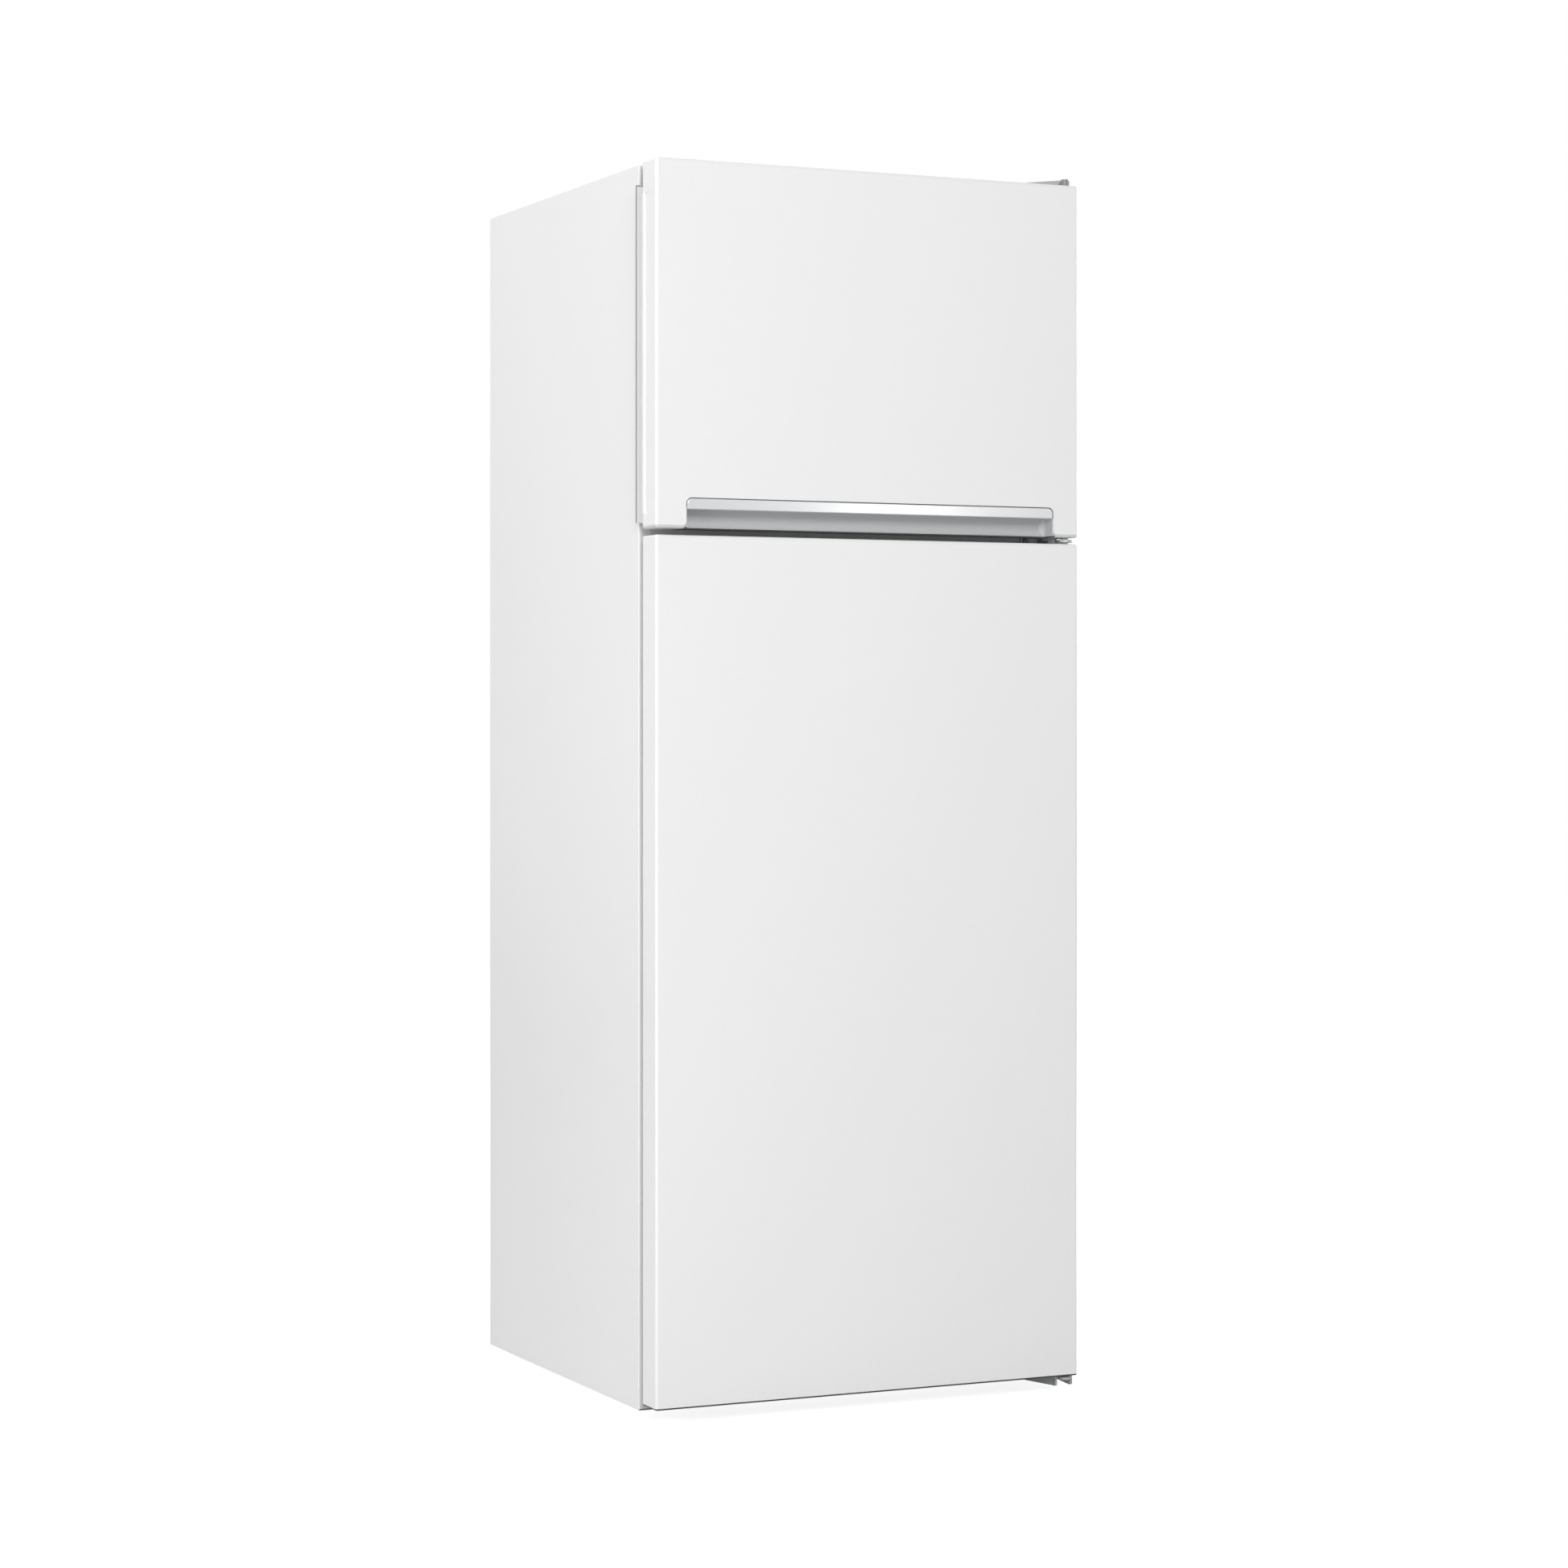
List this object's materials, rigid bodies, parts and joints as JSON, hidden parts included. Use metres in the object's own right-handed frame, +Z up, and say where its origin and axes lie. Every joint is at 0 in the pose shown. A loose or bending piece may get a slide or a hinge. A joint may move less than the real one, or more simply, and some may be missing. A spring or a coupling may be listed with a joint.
{
  "type": "top freezer refrigerator",
  "caption": "Free-standing refrigerator with a freezer compartment on top, right-hand hinged doors, a finger recess under the freezer door and a wire condenser on the back.",
  "frame": {"origin": "on the floor, under the middle of the whole box", "axes": "+Z up, the doors face -Y, +X to the right of someone facing them"},
  "size_m": [0.5473, 0.574, 1.4328],
  "materials": {
    "white_enamel": "satin",
    "white_liner": "satin",
    "grey_moulding": "satin",
    "dark_moulding": "matte",
    "satin_silver": "satin",
    "grey_frame_paint": "satin",
    "hinge_steel": "satin",
    "galvanised_sheet": "satin",
    "evaporator_aluminium": "satin",
    "cream_foam": "matte",
    "shelf_glass": "gloss",
    "white_trim": "satin",
    "clear_plastic": "gloss",
    "grey_rubber": "matte",
    "black_enamel": "satin",
    "copper": "satin"
  },
  "bodies": {
    "cabinet": {"side_panel_left": "white_enamel", "side_panel_right": "white_enamel", "top_panel": "white_enamel", "crossbar": "grey_frame_paint", "base_rail": "grey_frame_paint", "bottom_deck": "galvanised_sheet", "back_panel": "galvanised_sheet", "fridge_liner": "white_liner", "freezer_liner": "white_liner", "freezer_evaporator": "evaporator_aluminium", "insulation_foam": "cream_foam", "upper_shelf_glass": "shelf_glass", "middle_shelf_glass": "shelf_glass", "crisper_cover_glass": "shelf_glass", "shelf_trims": "white_trim", "freezer_shelf": "white_trim", "thermostat_housing": "white_liner", "lamp_cover": "clear_plastic", "top_hinge": "hinge_steel", "top_hinge_cover": "grey_moulding", "mid_hinge": "hinge_steel", "bottom_hinge": "hinge_steel", "hinge_screws": "hinge_steel", "compressor_tray": "galvanised_sheet", "lead_gland": "grey_rubber", "compressor": "black_enamel", "compressor_grommets": "grey_rubber", "relay_cover": "dark_moulding", "drip_tray": "dark_moulding", "condenser_tube": "black_enamel", "condenser_wires": "black_enamel", "condenser_brackets": "dark_moulding", "refrigerant_lines": "copper"},
    "fridge_door": {"fridge_door_skin": "white_enamel", "fridge_door_foam": "cream_foam", "fridge_door_liner": "white_liner", "fridge_door_top_cap": "grey_moulding", "fridge_door_bottom_cap": "dark_moulding", "fridge_door_gasket": "grey_rubber", "fridge_door_bushes": "white_liner", "fridge_bottle_bin": "clear_plastic", "fridge_middle_bin": "clear_plastic", "fridge_upper_bin": "clear_plastic"},
    "freezer_door": {"freezer_door_skin": "white_enamel", "freezer_door_foam": "cream_foam", "freezer_door_liner": "white_liner", "freezer_door_top_cap": "grey_moulding", "freezer_door_bottom_cap": "grey_moulding", "freezer_door_gasket": "grey_rubber", "freezer_door_bushes": "white_liner", "freezer_handle_trim": "satin_silver", "freezer_lower_bin": "clear_plastic", "freezer_upper_bin": "clear_plastic", "freezer_side_grip": "grey_moulding"},
    "crisper": {"crisper_drawer": "clear_plastic"},
    "thermostat_dial": {"thermostat_knob": "white_liner"},
    "left_foot": {"foot_left": "dark_moulding"},
    "right_foot": {"foot_right": "dark_moulding"},
    "left_roller": {"roller_left": "dark_moulding"},
    "right_roller": {"roller_right": "dark_moulding"}
  },
  "joints": [
    {"name": "freezer_door_hinge", "type": "hinge", "parent": "cabinet", "child": "freezer_door", "pos_m": [0.2595, -0.274, 1.21625], "axis": [0, 0, 1], "range_deg": [0, 120]},
    {"name": "fridge_door_hinge", "type": "hinge", "parent": "cabinet", "child": "fridge_door", "pos_m": [0.2595, -0.274, 0.51025], "axis": [0, 0, 1], "range_deg": [0, 120]},
    {"name": "crisper_slide", "type": "slide", "parent": "cabinet", "child": "crisper", "axis": [0, -1, 0], "range_m": [0, 0.15]},
    {"name": "thermostat_turn", "type": "hinge", "parent": "cabinet", "child": "thermostat_dial", "pos_m": [0.066, -0.0288, 0.945], "axis": [0, -1, 0], "range_deg": [0, 270]},
    {"name": "left_foot_screw", "type": "slide", "parent": "cabinet", "child": "left_foot", "axis": [0, 0, -1], "range_m": [0, 0.012]},
    {"name": "right_foot_screw", "type": "slide", "parent": "cabinet", "child": "right_foot", "axis": [0, 0, -1], "range_m": [0, 0.012]},
    {"name": "left_roller_axle", "type": "hinge", "parent": "cabinet", "child": "left_roller", "pos_m": [-0.204, 0.2155, 0.018], "axis": [1, 0, 0], "continuous": true},
    {"name": "right_roller_axle", "type": "hinge", "parent": "cabinet", "child": "right_roller", "pos_m": [0.204, 0.2155, 0.018], "axis": [1, 0, 0], "continuous": true}
  ],
  "couplings": [
    {"joint": "crisper_slide", "follows": "fridge_door_hinge", "m_per_rad": 0.0716}
  ]
}
